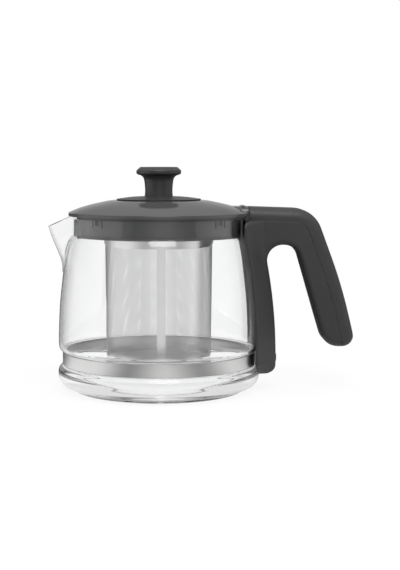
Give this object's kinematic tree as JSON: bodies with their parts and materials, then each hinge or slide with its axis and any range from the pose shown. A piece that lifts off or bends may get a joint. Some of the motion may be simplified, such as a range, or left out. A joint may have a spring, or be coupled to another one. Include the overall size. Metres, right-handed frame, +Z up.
{
  "type": "tea maker jug",
  "caption": "Glass tea maker jug with spout, steel clamp band, open hook handle, domed lid with a knob, and a perforated infuser basket that hangs under the lid.",
  "frame": {"origin": "on the jug's axis, at the table under the centre of its base", "axes": "+X from the jug's axis towards the handle, -X towards the spout, +Z up"},
  "size_m": [0.2123, 0.1408, 0.1551],
  "materials": {
    "clear_glass": "clear polished borosilicate",
    "band_steel": "brushed along the band",
    "basket_steel": "satin, finely perforated",
    "handle_plastic": "satin moulded",
    "lid_plastic": "polished moulded",
    "knob_plastic": "satin moulded",
    "fastener_steel": "plain",
    "black_screw": "black oxide",
    "soft_pad": "matte silicone",
    "brass_insert": "knurled"
  },
  "bodies": {
    "jug": {"glass_jug": "clear_glass", "clamp_band": "band_steel", "band_bracket": "fastener_steel", "clamp_nut": "fastener_steel", "clamp_washer": "fastener_steel", "clamp_screw": "black_screw", "handle_pad": "soft_pad", "handle_body": "handle_plastic", "handle_cover": "handle_plastic", "cover_screws": "fastener_steel"},
    "lid": {"lid_dome": "lid_plastic", "lid_collar": "lid_plastic", "lid_liner": "lid_plastic", "knob_plate": "lid_plastic", "knob": "knob_plastic", "knob_insert": "brass_insert", "knob_screw": "fastener_steel", "knob_washer": "soft_pad"},
    "basket": {"basket_rim": "basket_steel", "basket_wall": "basket_steel", "basket_base": "basket_steel"}
  },
  "joints": [
    {"name": "lid_lift", "type": "slide", "parent": "jug", "child": "lid", "axis": [0, 0, 1], "range_m": [0, 0.115]},
    {"name": "basket_twist", "type": "hinge", "parent": "lid", "child": "basket", "pos_m": [0, 0, 0.11], "axis": [0, 0, 1], "range_deg": [0, 22]}
  ]
}
